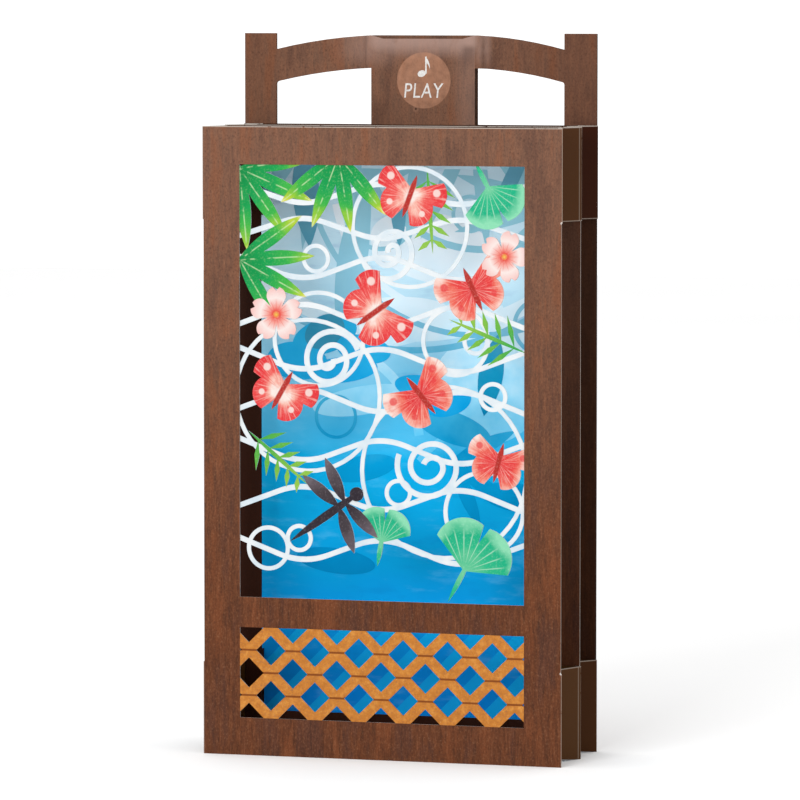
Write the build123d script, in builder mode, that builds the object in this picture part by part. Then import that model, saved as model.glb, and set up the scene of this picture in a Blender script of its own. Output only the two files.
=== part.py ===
from build123d import *
from math import ceil, cos, radians, sin
import os

os.makedirs("parts", exist_ok=True)

# A standing greeting card that opens into a box lantern. A front frame, a middle frame and a
# back panel with a carrying handle stand one behind another, held apart by folded side bands.
# A cut-paper picture fills the front window, and a push-button sound unit sits in the handle.
# Millimetres. X runs to the right, Y from the front to the back and Z up. The origin is in the
# middle of the footprint, on the surface that the card stands on.

# Overall sizes of the card
card_width = 115.0
card_height = 195.0
front_bay = 21.1          # clear depth between the front panel and the middle panel
back_bay = 18.1           # clear depth between the middle panel and the back panel
sheet = 0.4               # thickness of the printed card

# Front panel
side_strip = 11.7
top_strip = 11.7
bottom_strip = 11.7
rail_height = 9.4         # strip between the two windows
lower_window_height = 28.2

# Lattice cut out of the lower window
lattice_pitch = 14.3      # from hole to hole along a row
lattice_bridge = 4.7      # card left between two holes of a row, and of a column

# Middle panel
middle_strip = 11.5

# Folded side bands, two high on each side
band_height = 28.8
band_slit = 0.1           # gap of the cut that frees a band from its panel
front_fold_reach = 4.0    # how far the front bay's folds reach inwards
back_fold_reach = 6.8
tab_width = 6.0
fold_margin = 1.3         # width of panel edge given up to a fold
fold_root = 1.0           # length of band that runs on into the panel
band_rise = 1.2           # how far a band's foot rises towards its inner fold

# Handle
handle_height = 28.4      # of the posts, above the body
post_width = 10.5
post_step = 5.0           # from the post's top down to the arm's upper edge
arm_depth = 10.2
arm_climb = 4.4           # from the post to the block
arm_sag = 0.8             # how far the arm's edges bow above a straight line
corner_radius = 0.9       # of the handle windows, at the posts
block_width = 33.8
block_shift = 2.0         # the block stands a little right of the middle
block_dip = 1.05          # the front sheet's top edge hangs this much lower on the block
dip_ramp = 4.0
bend_width = 4.6          # of the soft bend where an arm steps forward to the block
foot_rise = 6.0           # height over which the front sheet lifts at the block's foot

# Cut-paper picture behind the upper window
picture_thickness = 0.3
picture_margin = 5.0      # from the window's edge to the sheet's
picture_lap = 1.0         # from the window's edge to the sheet's own opening
stream_width = 1.7        # of the white lines
stream_bends = 5          # turns of each line, with its two ends
stream_radius = 22.0      # of a turn
stream_start = -0.05      # share of the window's width where a line starts, behind the frame
whirl_arcs = 4            # half circles
whirl_pitch = 4.2         # from turn to turn
whirl_radius = 9.5
bamboo_leaves = 4
bamboo_length = 27.0
bamboo_spread = 31.0      # degrees between two leaves
bamboo_width = 4.8
leaf_overlap = 1.5        # how far a leaf's point lies behind the twig end
fern_pairs = 5
fern_length = 27.0
fern_stem = 1.3
fern_leaf_width = 1.7
fan_radius = 15.5
fan_stalk = 1.6
blossom_radius = 8.5
butterfly_span = 25.0
dragonfly_length = 29.0

# Sound unit, from the back cover forwards
sounder_radius = 13.5
plate_thickness = 0.2
ceramic_radius = 10.0
ceramic_thickness = 0.1
foam_thickness = 0.5
foam_width = 1.6
board_side_gap = 1.9      # from the board to the block's side
board_thickness = 0.5
board_corner = 0.8
board_drop = 2.75         # below the front sheet's top edge
board_clearance = 1.0     # above the line where the front sheet is fully lifted
cell_radius = 8.0
cell_thickness = 1.2
cell_edge = 0.2
cell_margin = 0.8         # from the board's lower edge
cell_gap = 1.4            # between the cell and the switch above it
clip_thickness = 0.15
clip_width = 4.0
clip_foot = 2.0
clip_radius = 0.15
clip_gap = 0.3            # beside the cell
pocket_clearance = 0.25   # in front of the clip
chip_radius = 3.2
chip_height = 0.9
chip_edge = 0.4
chip_inset = 6.0          # of the chip's middle, from the board's side
chip_rise = 1.2           # above the switch's middle

# Push switch under the printed disc
switch_drop = 10.2        # of the switch's middle, below the board's top edge
switch_side = 5.2
switch_corner = 0.3
switch_shoulder = 0.3     # roof round the stem
stem_radius = 1.45
flange_radius = 2.0
flange_thickness = 0.2
travel = 0.25
running_gap = 0.05        # round the stem and the flange, and past the end of the travel
stem_edge = 0.12
stem_gap = 0.3            # between the stem and the sheet that is pressed

# Places from the front to the back
depth = sheet + front_bay + sheet + back_bay + sheet + sheet
y_front = -depth / 2
y_middle = y_front + sheet + front_bay
y_back = y_middle + sheet + back_bay
y_cover = y_back + sheet
half_width = card_width / 2

# Windows of the front panel
window_width = card_width - 2 * side_strip
lower_window_base = bottom_strip
upper_window_base = bottom_strip + lower_window_height + rail_height
upper_window_height = card_height - top_strip - upper_window_base
window_middle = upper_window_base + upper_window_height / 2

# Handle block and the pocket behind it
block_left = block_shift - block_width / 2
block_right = block_shift + block_width / 2
arm_end = half_width - post_width
post_top = card_height + handle_height
arm_top = post_top - post_step
block_top = arm_top + arm_climb
block_rise = (
    plate_thickness + foam_thickness + board_thickness + cell_thickness + clip_thickness
    + pocket_clearance
)
y_block = y_back - block_rise
y_board_back = y_cover - plate_thickness - foam_thickness
y_board = y_board_back - board_thickness
board_width = block_width - 2 * board_side_gap
board_height = switch_drop + switch_side / 2 + cell_gap + 2 * cell_radius + cell_margin
board_base = block_top - block_dip - board_drop - board_height
foot_top = board_base - board_clearance
foot_base = foot_top - foot_rise
switch_z = board_base + board_height - switch_drop
sounder_z = board_base + board_height / 2
chip_x = chip_inset - board_width / 2
cell_z = board_base + cell_margin + cell_radius
cavity_depth = flange_thickness + travel + 2 * running_gap
switch_height = cavity_depth + switch_shoulder
y_flange = y_board - running_gap - travel
y_stem = y_block + sheet + stem_gap


def upright(y):
    """Plane that faces the viewer at depth y: its own x is X, its own y is Z."""
    return Plane.XZ.offset(-y)


def turned(centre, turn, along, across):
    """Point at a distance along and across a direction that is turned from the X axis."""
    c, s = cos(radians(turn)), sin(radians(turn))
    return (centre[0] + along * c - across * s, centre[1] + along * s + across * c)


def box_outline(low, high):
    """Upright rectangle between two corners given as (x, z)."""
    with Locations(((low[0] + high[0]) / 2, (low[1] + high[1]) / 2)):
        Rectangle(high[0] - low[0], high[1] - low[1])


# Folded panels


def panel_outline():
    """Panel whose edges stop short where the four side bands fold away from it."""
    with Locations((0, card_height / 2)):
        Rectangle(card_width - 2 * fold_margin, card_height)
        Rectangle(card_width, card_height - 2 * (band_height + band_slit))


def band_path(side, y_near, y_far, reach):
    """Middle of one side band: out of its panel, in to the inner fold, out again and to its tab."""
    return [
        (side * (half_width - fold_margin - fold_root), y_near),
        (side * half_width, y_near),
        (side * (half_width - reach), (y_near + y_far) / 2),
        (side * half_width, y_far),
        (side * (half_width - tab_width), y_far),
    ]


def side_bands(y_panel, bay, reach):
    """Four side bands that run from the panel at y_panel back to the next one."""
    y_near = y_panel + sheet / 2
    y_far = y_panel + sheet + bay - sheet / 2
    inner = half_width - reach - 2 * sheet
    with BuildPart() as bands:
        for side in (-1, 1):
            for base in (0, card_height - band_height):
                with BuildSketch(Plane.XY.offset(base)):
                    with BuildLine():
                        Polyline(*band_path(side, y_near, y_far, reach))
                    trace(line_width=sheet)
                extrude(amount=band_height)
            # The foot of the lower band is cut away towards the inner fold
            with BuildSketch(upright(y_far - sheet / 2)):
                with BuildLine():
                    Polyline(
                        (side * half_width, 0), (side * inner, band_rise), (side * inner, 0),
                        close=True,
                    )
                make_face()
            extrude(amount=bay - sheet, mode=Mode.SUBTRACT)
    return bands.part


def lattice_holes():
    """Staggered diamond holes, clipped by the lower window."""
    row_pitch = lower_window_height / 2
    half_hole_x = (lattice_pitch - lattice_bridge) / 2
    half_hole_z = (row_pitch - lattice_bridge) / 2
    middle = lower_window_base + lower_window_height / 2
    columns = ceil(window_width / lattice_pitch / 2) + 1
    with BuildSketch() as holes:
        for row in range(-2, 3):
            shift = row % 2 / 2
            for column in range(-columns, columns + 1):
                x = (column + shift) * lattice_pitch
                z = middle + row * row_pitch / 2
                with BuildLine():
                    Polyline(
                        (x - half_hole_x, z), (x, z - half_hole_z), (x + half_hole_x, z),
                        (x, z + half_hole_z), close=True,
                    )
                make_face()
        with Locations((0, middle)):
            Rectangle(window_width, lower_window_height, mode=Mode.INTERSECT)
    return holes.sketch


with BuildPart() as front_panel:
    with BuildSketch(upright(y_front + sheet)):
        panel_outline()
        with Locations((0, window_middle)):
            Rectangle(window_width, upper_window_height, mode=Mode.SUBTRACT)
        add(lattice_holes(), mode=Mode.SUBTRACT)
    extrude(amount=sheet)
    add(side_bands(y_front, front_bay, front_fold_reach))
front_panel.part.label = "front_panel"
export_step(front_panel.part, "parts/front_panel.step")

with BuildPart() as middle_panel:
    with BuildSketch(upright(y_middle + sheet)):
        panel_outline()
        with Locations((0, card_height / 2)):
            Rectangle(
                card_width - 2 * middle_strip, card_height - 2 * middle_strip, mode=Mode.SUBTRACT
            )
    extrude(amount=sheet)
    add(side_bands(y_middle, back_bay, back_fold_reach))
middle_panel.part.label = "middle_panel"
export_step(middle_panel.part, "parts/middle_panel.step")


# Back panel, handle and back cover


def arm_edge(side, drop):
    """Bowed edge of one arm, from the post to the block, lowered by drop."""
    post = (side * arm_end, arm_top - drop)
    block = (block_right if side > 0 else block_left, block_top - drop)
    middle = ((post[0] + block[0]) / 2, (post[1] + block[1]) / 2 + arm_sag)
    ThreePointArc(post, middle, block)
    Polyline(block, (block[0], card_height), (post[0], card_height), post)
    return post


def handle_window(side):
    """Opening between a post, an arm, the block and the body's top."""
    with BuildSketch() as window:
        with BuildLine():
            post = arm_edge(side, arm_depth)
        make_face()
        fillet(window.vertices().sort_by_distance((*post, 0))[0], radius=corner_radius)
    return window.sketch


def back_outline():
    """Body, posts, arms and block in one outline, with the two handle windows open."""
    with BuildSketch() as outline:
        box_outline((-half_width, 0), (half_width, card_height))
        box_outline((-half_width, card_height), (-arm_end, post_top))
        box_outline((arm_end, card_height), (half_width, post_top))
        box_outline((block_left, card_height), (block_right, block_top))
        for side in (-1, 1):
            with BuildLine():
                arm_edge(side, 0)
            make_face()
            add(handle_window(side), mode=Mode.SUBTRACT)
    return outline.sketch


def block_body(shift):
    """What the block lifts out of the back panel's plane, moved back by shift."""
    y_flat, y_lifted = y_back + shift, y_block + shift
    start, end = block_left - bend_width, block_right + bend_width
    left_bend = (start + bend_width / 2, (y_flat + y_lifted) / 2)
    right_bend = (end - bend_width / 2, (y_flat + y_lifted) / 2)
    with BuildPart() as body:
        # Seen from above, soft bends lead from the arms to the flat front
        with BuildSketch(Plane.XY.offset(foot_base)):
            with BuildLine():
                TangentArc((start, y_flat), left_bend, tangent=(1, 0))
                TangentArc((block_left, y_lifted), left_bend, tangent=(-1, 0))
                Line((block_left, y_lifted), (block_right, y_lifted))
                TangentArc((block_right, y_lifted), right_bend, tangent=(1, 0))
                TangentArc((end, y_flat), right_bend, tangent=(-1, 0))
                Polyline(
                    (end, y_flat), (end, y_flat + sheet), (start, y_flat + sheet), (start, y_flat)
                )
            make_face()
        extrude(amount=post_top - foot_base)
        # Seen from the side, the foot slopes back into the panel
        with BuildSketch(Plane.YZ.offset(start)):
            with BuildLine():
                Polyline(
                    (y_flat, foot_base), (y_lifted, foot_top), (y_lifted, foot_base), close=True
                )
            make_face()
        extrude(amount=end - start, mode=Mode.SUBTRACT)
    return body.part


with BuildPart() as back_panel:
    with BuildSketch(upright(y_cover)):
        box_outline((-half_width, 0), (half_width, post_top))
    extrude(amount=sheet)
    add(block_body(0))
    add(block_body(sheet), mode=Mode.SUBTRACT)
    with BuildSketch(upright(y_cover)):
        add(back_outline())
        # The front sheet's top edge dips over the block
        with BuildLine():
            Polyline(
                (block_left, block_top), (block_left + dip_ramp, block_top - block_dip),
                (block_right - dip_ramp, block_top - block_dip), (block_right, block_top),
                (block_right, post_top), (block_left, post_top), close=True,
            )
        make_face(mode=Mode.SUBTRACT)
    extrude(amount=y_cover - y_block, mode=Mode.INTERSECT)
back_panel.part.label = "back_panel"
export_step(back_panel.part, "parts/back_panel.step")

with BuildPart() as back_cover:
    with BuildSketch(upright(y_cover + sheet)):
        add(back_outline())
    extrude(amount=sheet)
back_cover.part.label = "back_cover"
export_step(back_cover.part, "parts/back_cover.step")


# Cut-paper picture. Places are shares of the upper window's width and height, from its lower left.
# The scale of a motif is its share of the named size.


def spot(place):
    """Point of the picture at a place given as shares."""
    return (
        (place[0] - 0.5) * window_width, upper_window_base + place[1] * upper_window_height
    )


def stream(level, swing):
    """White line of flowing water across the window, swinging about its level."""
    with BuildSketch() as shape:
        with BuildLine():
            edges = []
            for rise in (-stream_width / 2, stream_width / 2):
                points = []
                for i in range(stream_bends):
                    share = i / (stream_bends - 1)
                    across = stream_start + share * (1 - 2 * stream_start)
                    x, z = spot((across, level + swing * (-1) ** i))
                    points.append((x, z + rise))
                edges.append(FilletPolyline(*points, radius=stream_radius))
            for end in (0, 1):
                Line(edges[0] @ end, edges[1] @ end)
        make_face()
    return shape.sketch


def whirl(place, turn, scale):
    """Whirl of the water: half circles that shrink towards the middle."""
    radius = scale * whirl_radius
    start = turned(spot(place), turn, radius, 0)
    with BuildSketch() as shape:
        with BuildLine():
            for i in range(whirl_arcs):
                arc_radius = radius - i * whirl_pitch / 2
                middle = turned(start, turn + 180 * (i + 1), arc_radius, 0)
                CenterArc(middle, arc_radius, turn + 180 * i, 180)
                start = turned(middle, turn + 180 * (i + 1), arc_radius, 0)
        trace(line_width=stream_width)
    return shape.sketch


def leaf(base, turn, length, width):
    """Pointed leaf that starts at base."""
    tip = turned(base, turn, length, 0)
    with BuildSketch() as shape:
        with BuildLine():
            ThreePointArc(base, turned(base, turn, length / 2, width / 2), tip)
            ThreePointArc(tip, turned(base, turn, length / 2, -width / 2), base)
        make_face()
    return shape.sketch


def bamboo(place, turn, scale):
    """Fan of pointed bamboo leaves from one twig end."""
    length = scale * bamboo_length
    with BuildSketch() as shape:
        for i in range(bamboo_leaves):
            lean = turn + (i - (bamboo_leaves - 1) / 2) * bamboo_spread
            add(leaf(turned(spot(place), lean, -leaf_overlap, 0), lean, length, bamboo_width))
    return shape.sketch


def fern(place, turn, scale):
    """Fern frond: a slim stem with pairs of small leaves."""
    base, length = spot(place), scale * fern_length
    with BuildSketch() as shape:
        add(leaf(base, turn, length, fern_stem))
        for i in range(fern_pairs):
            share = (i + 1) / (fern_pairs + 1)
            root = turned(base, turn, length * share, 0)
            for side in (-1, 1):
                size = length * (0.42 - 0.25 * share)
                with BuildLine():
                    Polyline(
                        root, turned(root, turn + 55 * side, size / 2, fern_leaf_width / 2),
                        turned(root, turn + 55 * side, size, 0),
                        turned(root, turn + 55 * side, size / 2, -fern_leaf_width / 2), close=True,
                    )
                make_face()
    return shape.sketch


def fan_leaf(place, turn, scale):
    """Fan-shaped leaf in two halves, with a notch in its rim and a short stalk."""
    base, radius = spot(place), scale * fan_radius
    with BuildSketch() as shape:
        for side in (-1, 1):
            near = turned(base, turn + 4 * side, radius, 0)
            bulge = turned(base, turn + 34 * side, radius * 1.06, 0)
            far = turned(base, turn + 66 * side, radius * 0.9, 0)
            with BuildLine():
                Line(base, turned(base, turn, radius * 0.62, 0))
                Line(turned(base, turn, radius * 0.62, 0), near)
                ThreePointArc(near, bulge, far)
                Line(far, base)
            make_face()
        add(leaf(turned(base, turn, radius * 0.3, 0), turn + 180, radius, fan_stalk))
    return shape.sketch


def blossom(place, turn, scale):
    """Blossom of five notched petals."""
    centre, radius = spot(place), scale * blossom_radius
    with BuildSketch() as shape:
        for i in range(5):
            for side in (-1, 1):
                def petal(along, across):
                    return turned(centre, turn + 72 * i, radius * along, radius * across * side)

                with BuildLine():
                    Polyline(petal(0.86, 0), petal(-0.15, 0), petal(0.6, 0.36))
                    ThreePointArc(petal(0.6, 0.36), petal(0.87, 0.3), petal(0.99, 0.12))
                    Line(petal(0.99, 0.12), petal(0.86, 0))
                make_face()
    return shape.sketch


def butterfly(place, turn, scale):
    """Butterfly seen from above: two pairs of wings and a slim body."""
    centre, span = spot(place), scale * butterfly_span
    with BuildSketch() as shape:
        for side in (-1, 1):
            def wing(along, across):
                return turned(centre, turn, span * along, span * across * side)

            with BuildLine():
                Polyline(wing(0.01, 0.47), wing(-0.03, 0), wing(0.1, 0), wing(0.33, 0.38))
                ThreePointArc(wing(0.33, 0.38), wing(0.2, 0.48), wing(0.01, 0.47))
            make_face()
            with BuildLine():
                Polyline(wing(-0.36, 0.13), wing(-0.1, 0), wing(0.03, 0), wing(0, 0.34))
                ThreePointArc(wing(0, 0.34), wing(-0.26, 0.33), wing(-0.36, 0.13))
            make_face()
        add(leaf(turned(centre, turn, -span * 0.3, 0), turn, span * 0.6, span * 0.1))
    return shape.sketch


def dragonfly(place, turn, scale):
    """Dragonfly seen from above: a long tail, a round head and four narrow wings."""
    centre, length = spot(place), scale * dragonfly_length
    with BuildSketch() as shape:
        add(leaf(turned(centre, turn, -length * 0.55, 0), turn, length, length * 0.09))
        with Locations(turned(centre, turn, length * 0.36, 0)):
            Circle(length * 0.075)
        for side in (-1, 1):
            for along, lean in ((0.2, 80), (0.12, 106)):
                root = turned(centre, turn, length * along, 0)
                add(leaf(root, turn + lean * side, length * 0.52, length * 0.13))
    return shape.sketch


streams = (
    (0.935, 0.03), (0.855, -0.03), (0.765, 0.035), (0.655, -0.035), (0.555, 0.035),
    (0.46, -0.035), (0.345, 0.035), (0.235, -0.035), (0.115, 0.035),
)
whirls = (((0.66, 0.315), 160, 1.0),)
bamboo_sprays = (
    ((0.00, 0.99), -38, 1.0), ((0.35, 1.02), -96, 0.93), ((0.00, 0.78), -12, 0.96),
)
ferns = (((0.66, 1.00), -86, 1.0), ((1.01, 0.575), 158, 1.0), ((0.03, 0.385), -40, 0.93))
fan_leaves = (((0.87, 0.955), -62, 0.8), ((0.79, 0.075), 62, 1.0), ((0.50, 0.135), 80, 0.68))
blossoms = (((0.13, 0.655), 18, 1.0), ((0.93, 0.795), 0, 0.94))
butterflies = (
    ((0.60, 0.93), 70, 0.92), ((0.82, 0.72), 115, 0.96), ((0.48, 0.665), 35, 1.0),
    ((0.64, 0.475), 130, 0.96), ((0.15, 0.48), 60, 0.92), ((0.91, 0.325), 75, 0.84),
)
dragonflies = (((0.32, 0.20), 35, 1.0),)

picture_shapes = (
    [stream(*shape) for shape in streams]
    + [whirl(*shape) for shape in whirls]
    + [bamboo(*shape) for shape in bamboo_sprays]
    + [fern(*shape) for shape in ferns]
    + [fan_leaf(*shape) for shape in fan_leaves]
    + [blossom(*shape) for shape in blossoms]
    + [butterfly(*shape) for shape in butterflies]
    + [dragonfly(*shape) for shape in dragonflies]
)

with BuildPart() as picture_sheet:
    with BuildSketch(upright(y_front + sheet + picture_thickness)):
        add(picture_shapes)
        with Locations((0, window_middle)):
            Rectangle(
                window_width + 2 * picture_lap, upper_window_height + 2 * picture_lap,
                mode=Mode.INTERSECT,
            )
        with BuildSketch(mode=Mode.PRIVATE) as border:
            with Locations((0, window_middle)):
                Rectangle(
                    window_width + 2 * picture_margin, upper_window_height + 2 * picture_margin
                )
                Rectangle(
                    window_width + 2 * picture_lap, upper_window_height + 2 * picture_lap,
                    mode=Mode.SUBTRACT,
                )
        add(border.sketch)
    extrude(amount=picture_thickness)
picture_sheet.part.label = "picture_sheet"
export_step(picture_sheet.part, "parts/picture_sheet.step")


# Sound unit in the handle's pocket


def on_block(y, z, x=0):
    """Upright plane at depth y whose origin is x beside the block's middle, at height z."""
    return Plane(origin=(block_shift + x, y, z), x_dir=(1, 0, 0), z_dir=(0, -1, 0))


with BuildPart() as sounder_plate:
    with BuildSketch(on_block(y_cover, sounder_z)):
        Circle(sounder_radius)
    extrude(amount=plate_thickness)
sounder_plate.part.label = "sounder_plate"
export_step(sounder_plate.part, "parts/sounder_plate.step")

with BuildPart() as sounder_ceramic:
    with BuildSketch(on_block(y_cover - plate_thickness, sounder_z)):
        Circle(ceramic_radius)
    extrude(amount=ceramic_thickness)
sounder_ceramic.part.label = "sounder_ceramic"
export_step(sounder_ceramic.part, "parts/sounder_ceramic.step")

with BuildPart() as foam_ring:
    with BuildSketch(on_block(y_cover - plate_thickness, sounder_z)):
        Circle(sounder_radius)
        Circle(sounder_radius - foam_width, mode=Mode.SUBTRACT)
    extrude(amount=foam_thickness)
foam_ring.part.label = "foam_ring"
export_step(foam_ring.part, "parts/foam_ring.step")

with BuildPart() as circuit_board:
    with BuildSketch(on_block(y_board_back, sounder_z)):
        RectangleRounded(board_width, board_height, board_corner)
    extrude(amount=board_thickness)
circuit_board.part.label = "circuit_board"
export_step(circuit_board.part, "parts/circuit_board.step")

with BuildPart() as chip_cover:
    with BuildSketch(on_block(y_board, switch_z + chip_rise, chip_x)):
        Circle(chip_radius)
    extrude(amount=chip_height)
    chamfer(chip_cover.faces().sort_by(Axis.Y)[0].edges(), length=chip_edge)
chip_cover.part.label = "chip_cover"
export_step(chip_cover.part, "parts/chip_cover.step")

with BuildPart() as coin_cell:
    with BuildSketch(on_block(y_board, cell_z)):
        Circle(cell_radius)
    extrude(amount=cell_thickness)
    chamfer(coin_cell.faces().sort_by(Axis.Y)[0].edges(), length=cell_edge)
coin_cell.part.label = "coin_cell"
export_step(coin_cell.part, "parts/coin_cell.step")

with BuildPart() as cell_clip:
    # Seen from above, the strap climbs from a foot on the board over the cell and down again
    clip_side = cell_radius + clip_gap + clip_thickness / 2
    y_foot = y_board - clip_thickness / 2
    with BuildSketch(Plane.XY.offset(cell_z - clip_width / 2)):
        with BuildLine():
            FilletPolyline(
                (block_shift - clip_side - clip_foot, y_foot),
                (block_shift - clip_side, y_foot),
                (block_shift - clip_side, y_foot - cell_thickness),
                (block_shift + clip_side, y_foot - cell_thickness),
                (block_shift + clip_side, y_foot),
                (block_shift + clip_side + clip_foot, y_foot),
                radius=clip_radius,
            )
        trace(line_width=clip_thickness)
    extrude(amount=clip_width)
cell_clip.part.label = "cell_clip"
export_step(cell_clip.part, "parts/cell_clip.step")

with BuildPart() as switch_housing:
    with BuildSketch(on_block(y_board, switch_z)):
        RectangleRounded(switch_side, switch_side, switch_corner)
    extrude(amount=switch_height)
    with BuildSketch(on_block(y_board, switch_z)):
        Circle(flange_radius + running_gap)
    extrude(amount=cavity_depth, mode=Mode.SUBTRACT)
    with BuildSketch(on_block(y_board, switch_z)):
        Circle(stem_radius + running_gap)
    extrude(amount=switch_height, mode=Mode.SUBTRACT)
switch_housing.part.label = "switch_housing"
export_step(switch_housing.part, "parts/switch_housing.step")

with BuildPart() as switch_plunger:
    with BuildSketch(on_block(y_flange, switch_z)):
        Circle(flange_radius)
    extrude(amount=flange_thickness)
    with BuildSketch(on_block(y_flange, switch_z)):
        Circle(stem_radius)
    extrude(amount=y_flange - y_stem)
    chamfer(switch_plunger.faces().sort_by(Axis.Y)[0].edges(), length=stem_edge)
switch_plunger.part.label = "switch_plunger"
export_step(switch_plunger.part, "parts/switch_plunger.step")
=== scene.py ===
# %% [markdown]
# # A paper lantern card, printed and cut
#
# The card is made of flat printed sheets that stand one behind another. The imported model already
# has every sheet at its true size, so this lesson adds what the printer and the cutter add: the
# wood-grain print, the orange lattice, the coloured cut-paper picture, the water behind it, and the
# pale board that shows at the cut edges. It also paints some light and shade on: sheen, highlights
# on edges and creases, shade inside the box and shadows on the water. Lengths are in metres, with +X
# to the right, +Y to the back and +Z up.

# %% The frame
import bpy
import math
from math import cos, pi, radians, sin
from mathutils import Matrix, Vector


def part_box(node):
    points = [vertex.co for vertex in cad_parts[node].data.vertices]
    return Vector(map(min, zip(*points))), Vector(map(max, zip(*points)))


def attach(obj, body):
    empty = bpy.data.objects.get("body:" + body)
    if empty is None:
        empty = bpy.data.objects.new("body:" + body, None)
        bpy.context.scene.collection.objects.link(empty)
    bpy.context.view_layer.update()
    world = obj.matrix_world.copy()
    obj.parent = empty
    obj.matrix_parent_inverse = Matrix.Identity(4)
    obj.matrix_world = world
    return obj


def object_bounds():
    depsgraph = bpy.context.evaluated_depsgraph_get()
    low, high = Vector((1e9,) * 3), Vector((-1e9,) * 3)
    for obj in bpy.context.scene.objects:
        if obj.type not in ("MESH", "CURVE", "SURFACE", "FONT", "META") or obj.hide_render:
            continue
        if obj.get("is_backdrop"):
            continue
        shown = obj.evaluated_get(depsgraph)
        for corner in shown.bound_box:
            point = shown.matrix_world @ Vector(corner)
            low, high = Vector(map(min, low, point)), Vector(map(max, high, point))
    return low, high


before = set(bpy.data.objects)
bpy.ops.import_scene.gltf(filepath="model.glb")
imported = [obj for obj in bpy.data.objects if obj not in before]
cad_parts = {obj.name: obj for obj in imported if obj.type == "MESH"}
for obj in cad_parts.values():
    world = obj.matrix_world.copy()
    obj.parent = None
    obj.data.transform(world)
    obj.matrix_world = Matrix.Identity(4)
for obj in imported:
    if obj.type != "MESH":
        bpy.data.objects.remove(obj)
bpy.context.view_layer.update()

mm = 0.001
sheet = 0.4 * mm
front_box, middle_box, back_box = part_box("front_panel"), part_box("middle_panel"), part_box("back_panel")
front_face, middle_face, block_face = front_box[0].y, middle_box[0].y, back_box[0].y
picture_front, picture_back = (corner.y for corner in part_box("picture_sheet"))
back_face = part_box("back_cover")[1].y - 2 * sheet
card_top, half_width = front_box[1].z, back_box[1].x
front_corner = Vector((front_box[1].x, front_face))
middle_corner = Vector((middle_box[1].x, middle_face))
print("card", half_width * 2, card_top, "handle to", back_box[1].z)

# %% [markdown]
# The windows aren't in the frame's boxes, so their edges are named here once. Everything that is
# printed or cut for a window is placed from these. The slits that free a panel's side bands lie as
# far above the card's middle as below it.

# %% Windows, bands, block and disc
window_side = 45.8 * mm
window_low, window_high = 49.3 * mm, 183.3 * mm
window_width, window_height = 2 * window_side, window_high - window_low
window_edges = (-window_side, window_side, window_low, window_high)
half_height = card_top / 2
lattice_low, lattice_high = 11.7 * mm, 39.9 * mm
band_height = 28.8 * mm
slit_reach = half_height - band_height
scene_left, scene_right, scene_low = -53.0 * mm, 51.5 * mm, 7.0 * mm
scene_edges = (scene_left, scene_right, scene_low, card_top - scene_low)
scene_middle, half_scene = (scene_left + scene_right) / 2, (scene_right - scene_left) / 2
block_left, block_right, block_top = -14.9 * mm, 18.9 * mm, 221.7 * mm
block_middle, half_block = (block_left + block_right) / 2, (block_right - block_left) / 2
disc_x, disc_z, disc_radius = 2.3 * mm, 208.8 * mm, 8.75 * mm
dent = (-0.3 * mm, 0.0, 199.9 * mm)
print("window", window_width, window_height)

# %% [markdown]
# A print is a colour that depends on the place, so every material here is a small graph of nodes.
# These helpers add one node at a time and give back its output. An input can be a number, a colour
# or the output of another node, and that output also tells which material the new node goes into.


# %% Helpers for prints
daylight = 1.75


def paint(code):
    """Colour that looks like a hex code under the studio's light, which is brighter than 1."""
    parts = [int(code[i:i + 2], 16) / 255 for i in (1, 3, 5)]
    linear = [p / 12.92 if p <= 0.04045 else ((p + 0.055) / 1.055) ** 2.4 for p in parts]
    return tuple(p / daylight for p in linear) + (1,)


def node(kind, inputs, output=0, **settings):
    """Adds a shader node beside those that feed it, fills its inputs and returns one output."""
    inputs = dict(inputs)
    feeds = {key: entry for key, entry in inputs.items() if isinstance(entry, bpy.types.NodeSocket)}
    tree = next(iter(feeds.values())).id_data
    new = tree.nodes.new("ShaderNode" + kind)
    for key, setting in settings.items():
        setattr(new, key, setting)
    for key, entry in inputs.items():
        if key in feeds:
            tree.links.new(entry, new.inputs[key])
        else:
            new.inputs[key].default_value = entry
    return new.outputs[output]


def calc(operation, *values):
    """Arithmetic on numbers or outputs."""
    return node("Math", enumerate(values), operation=operation)


def above(value, level):
    """1 where value is more than level, else 0."""
    return calc("GREATER_THAN", value, level)


def below(value, level):
    """1 where value is less than level, else 0."""
    return calc("LESS_THAN", value, level)


def from_level(value, level):
    """Distance above or below a level."""
    return calc("ABSOLUTE", calc("SUBTRACT", value, level))


def near(value, centre, reach):
    """1 where value lies within reach of centre, else 0."""
    return calc("COMPARE", value, centre, reach)


def both(*masks):
    """1 where all the masks are 1."""
    whole = masks[0]
    for mask in masks[1:]:
        whole = calc("MULTIPLY", whole, mask)
    return whole


def either(a, b):
    """1 where one of the masks is 1."""
    return calc("MAXIMUM", a, b)


def fade(value, start, end):
    """Soft step from 0 at start to 1 at end."""
    return node("MapRange", {0: value, 1: start, 2: end}, interpolation_type="SMOOTHSTEP")


def mix(mask, a, b):
    """Colour a where the mask is 0 and b where it is 1."""
    return node("Mix", {0: mask, 6: a, 7: b}, output=2, data_type="RGBA")


def tint(colour, mask, strength, code):
    """Colour pulled towards a hex code where the mask is 1, by up to strength."""
    return mix(both(mask, strength), colour, paint(code))


def ramp(value, *stops):
    """Colour that runs through the stops given as (place, hex code)."""
    colours = node("ValToRGB", {0: value})
    elements = colours.node.color_ramp.elements
    for i, (place, code) in enumerate(stops):
        element = elements[i] if i < 2 else elements.new(place)
        element.position = place
        element.color = paint(code)
    return colours


def brighten(colour, lift):
    """Colour times a number."""
    return node("VectorMath", {0: colour, "Scale": lift}, operation="SCALE")


def split(vector):
    """x, y and z of a vector."""
    return node("SeparateXYZ", {0: vector}).node.outputs


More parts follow.
